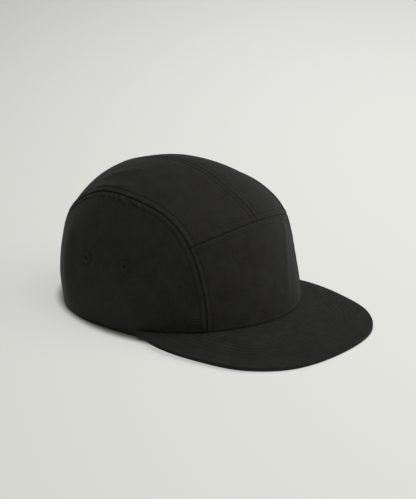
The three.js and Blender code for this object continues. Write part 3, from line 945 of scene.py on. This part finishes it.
grid = np.concatenate([top, np.stack(edge), under])
index = numbered(grid)
faces = quads_of(np.vstack([index, index[:1]])) + [index[:, 0].tolist(), index[::-1, -1].tolist()]
# The same cotton as the crown, given darker colours on the peak: painted shade on its upturned face.
shaded_peak_cotton = cloth_finish(
    "shaded_peak_cotton", (0.0086, 0.0083, 0.0078), (0.0184, 0.0179, 0.0169), cloth_thread_pitch,
)
flat = np.stack([grid[..., 0], grid[..., 1]], -1).reshape(-1, 2)
add_piece("peak_cloth", grid.reshape(-1, 3), faces, shaded_peak_cotton, flat, ["peak"])
upright = np.broadcast_to([0.0, 0.0, 1.0], top.shape)
from_edge = [grid[::-1].swapaxes(0, 1) for grid in (inset, top, upright)]
add_stitches("peak_stitches", [sewing_row(*from_edge, row) for row in peak_row_insets], sewing_thread)

# Sweatband
# A band of cotton twill lines the rim from one foot of the arch round the front to the other. It is
# folded at its lower edge, where it shows a little below the rim, and sewn to the panels through that fold.
sweatband_height = 0.032
sweatband_thickness = 0.001
sweatband_show = 0.008
sweatband_bend = 0.008
twill_pitch = 0.00055
strap_width = 0.020
strap_thickness = 0.0015
strap_overlap = 0.018
strap_rise = 0.0025
lining_gap = 0.0003
whole_turn = 4 * side_turn
lined_sections = 2
level_samples = 200
seam_samples = 800
band_corner = 0.3
bend_steps = 5
sweatband_rows = 14
sweatband_columns = 240


def crown_at_level(turn, level):
    """Point of the crown at a level above its rim. Turn goes on to 3 at the rear seam and 4 at the back."""
    turn = turn - whole_turn if turn > whole_turn / 2 else turn
    hand = -1 if turn < 0 else 1
    size = abs(turn)
    if size <= 1 or size >= 3:
        across = np.full(level_samples, size if size <= 1 else whole_turn / 2 - size)
        low, high = (0, lined_sections) if size <= 1 else (last_section, last_section - lined_sections)
        sections = np.linspace(low, high, level_samples)
        found = np.interp(level, strip_point(across, sections)[:, 2], sections)
        return raised(strip_point(hand * across[0], np.array(found)))
    sections = np.linspace(0, last_section, seam_samples)
    seam = curve_through(seam_line, sections)
    end = seam[:level_samples] if size < side_turn else seam[:-level_samples:-1]
    seam_y = np.interp(level, end[:, 2], end[:, 1])
    away = np.array([(seam_y - side_middle[1]) * abs(size - side_turn), level])
    slopes = np.arctan2(seam[:, 2], seam[:, 1] - side_middle[1])
    found = np.interp(-math.atan2(away[1], away[0]), -slopes, sections)
    reach = np.linalg.norm(curve_through(seam_line, np.array(found))[1:] - side_middle[1:])
    return raised(side_point(hand, np.array(np.linalg.norm(away) / reach), np.array(found)))


def lining_points(turns, profile, shift=None):
    """Grid of points inside the crown: a section of levels and depths, carried along the rim."""
    grid = np.empty((len(turns), len(profile), 3))
    for row, turn in enumerate(turns):
        for column, (level, depth) in enumerate(profile):
            point = crown_at_level(turn, max(0, level))
            point = point - outward(point) * (depth + (shift(turn) if shift else 0))
            if level < 0:
                point[2] = max(point[2] + level, min(point[2], lining_gap))
            grid[row, column] = point
    return grid


def add_band(name, turns, profile, finish, node, shift=None):
    """A band inside the crown, as a closed tube with flat ends."""
    grid = lining_points(turns, profile, shift)
    along = run_along(grid, 0)[:, :1] + np.zeros(grid.shape[:2])
    around = np.broadcast_to([level for level, _ in profile], grid.shape[:2])
    coords = np.stack([along, around], -1).reshape(-1, 2)
    faces = tube_faces(numbered(grid))
    return add_piece(name, grid.reshape(-1, 3), faces, finish, coords, [node])


def turn_before(start, length):
    """Turn of the rim's point that is this length from another, on the way to the side's middle."""
    turns = np.linspace(start, side_turn, panel_samples)
    places = np.array([crown_at_level(turn, 0) for turn in turns])
    return float(np.interp(length, np.linalg.norm(places - places[0], axis=1), turns))


def band_profile(low, high, near, far, rows):
    """Section of a flat band with rounded edges, as levels and depths."""
    middle, half = (near + far) / 2, (far - near) / 2
    bends = np.linspace(band_corner, math.pi - band_corner, bend_steps)
    head = [(high - half + half * math.sin(bend), middle - half * math.cos(bend)) for bend in bends]
    foot = [(low + half - half * math.sin(bend), middle + half * math.cos(bend)) for bend in bends]
    levels = np.linspace(low + half, high - half, rows)
    return [(level, near) for level in levels] + head + [(level, far) for level in levels[::-1]] + foot


arch_turn = whole_turn / 2 - arch_across
strap_end_turn = turn_before(arch_turn, strap_overlap)
bend_start = turn_before(strap_end_turn, sweatband_bend)
band_near = cloth_thickness + lining_gap


def over_strap(turn):
    """How much deeper the sweatband lies where it covers the strap's end."""
    return float(smooth(abs(turn), bend_start, strap_end_turn)) * (strap_thickness + lining_gap)


sweatband_twill = cloth_finish(
    "sweatband_twill", (0.0250, 0.0239, 0.0183), (0.0400, 0.0381, 0.0298), twill_pitch, "twill", bump=0.5,
)
profile = band_profile(
    -sweatband_show, sweatband_height, band_near, band_near + sweatband_thickness, sweatband_rows,
)
add_band("sweatband_tape", np.linspace(-arch_turn, arch_turn, sweatband_columns), profile, sweatband_twill,
         "sweatband", over_strap)

# Back strap
# A strap of ribbed webbing crosses the arch at the back and ends between the panels and the sweatband,
# where it is sewn down. A plain plastic slide holds its length.
strap_near = band_near
strap_far = strap_near + strap_thickness
strap_top = strap_rise + strap_width
rib_pitch = 0.0008
strap_rows = 12
strap_columns = 150

strap_webbing = cloth_finish(
    "strap_webbing", (0.0100, 0.0097, 0.0093), (0.0170, 0.0165, 0.0155), rib_pitch, "rib", bump=0.7,
)
profile = band_profile(strap_rise, strap_top, strap_near, strap_far, strap_rows)
turns = np.linspace(strap_end_turn, whole_turn - strap_end_turn, strap_columns)
add_band("back_strap_webbing", turns, profile, strap_webbing, "back_strap")

# Strap slide
# A small moulded loop of black plastic round the strap, a little to one side of the middle. It is smooth,
# with its edges and corners slightly rounded.
slide_length = 0.009
slide_wall = 0.0016
slide_off_centre = 0.012
slide_rounding = 0.0004
slide_bevel = 0.91
plastic_grain = 0.0008

slide_plastic = grained_finish(
    "slide_plastic", (0.0085, 0.0085, 0.0085), plastic_grain, roughness=0.42, specular=0.5, bump=0.2,
)
slide_middle = whole_turn / 2 + slide_off_centre / seam_half_width
slide_reach = slide_length / 2 / seam_half_width
slot_levels = (strap_rise - lining_gap, strap_top + lining_gap)
slot_depths = (strap_near - lining_gap, strap_far + lining_gap)


def slide_loop(grow):
    """Section of the slide, as levels and depths: its slot grown by a width, with rounded corners."""
    radius = slide_rounding + grow / 3
    loop = []
    for begin, level_end, depth_end in ((-90, 1, 0), (0, 1, 1), (90, 0, 1), (180, 0, 0)):
        level = slot_levels[level_end] + (grow - radius) * (1 if level_end else -1)
        depth = slot_depths[depth_end] + (grow - radius) * (1 if depth_end else -1)
        for angle in np.radians(np.linspace(begin, begin + 90, bend_steps)):
            loop.append((level + radius * math.cos(angle), depth + radius * math.sin(angle)))
    return loop


steps = [
    (-1, slide_wall - slide_rounding), (-slide_bevel, slide_wall), (slide_bevel, slide_wall),
    (1, slide_wall - slide_rounding), (1, slide_rounding), (slide_bevel, 0), (-slide_bevel, 0),
    (-1, slide_rounding),
]
grid = np.array([
    lining_points([slide_middle + reach * slide_reach], slide_loop(grow))[0] for reach, grow in steps
])
index = numbered(grid)
index = np.vstack([index, index[:1]])
faces = quads_of(np.hstack([index, index[:, :1]]))
add_piece("strap_slide_loop", grid.reshape(-1, 3), faces, slide_plastic,
          replaced=["strap_slide"])
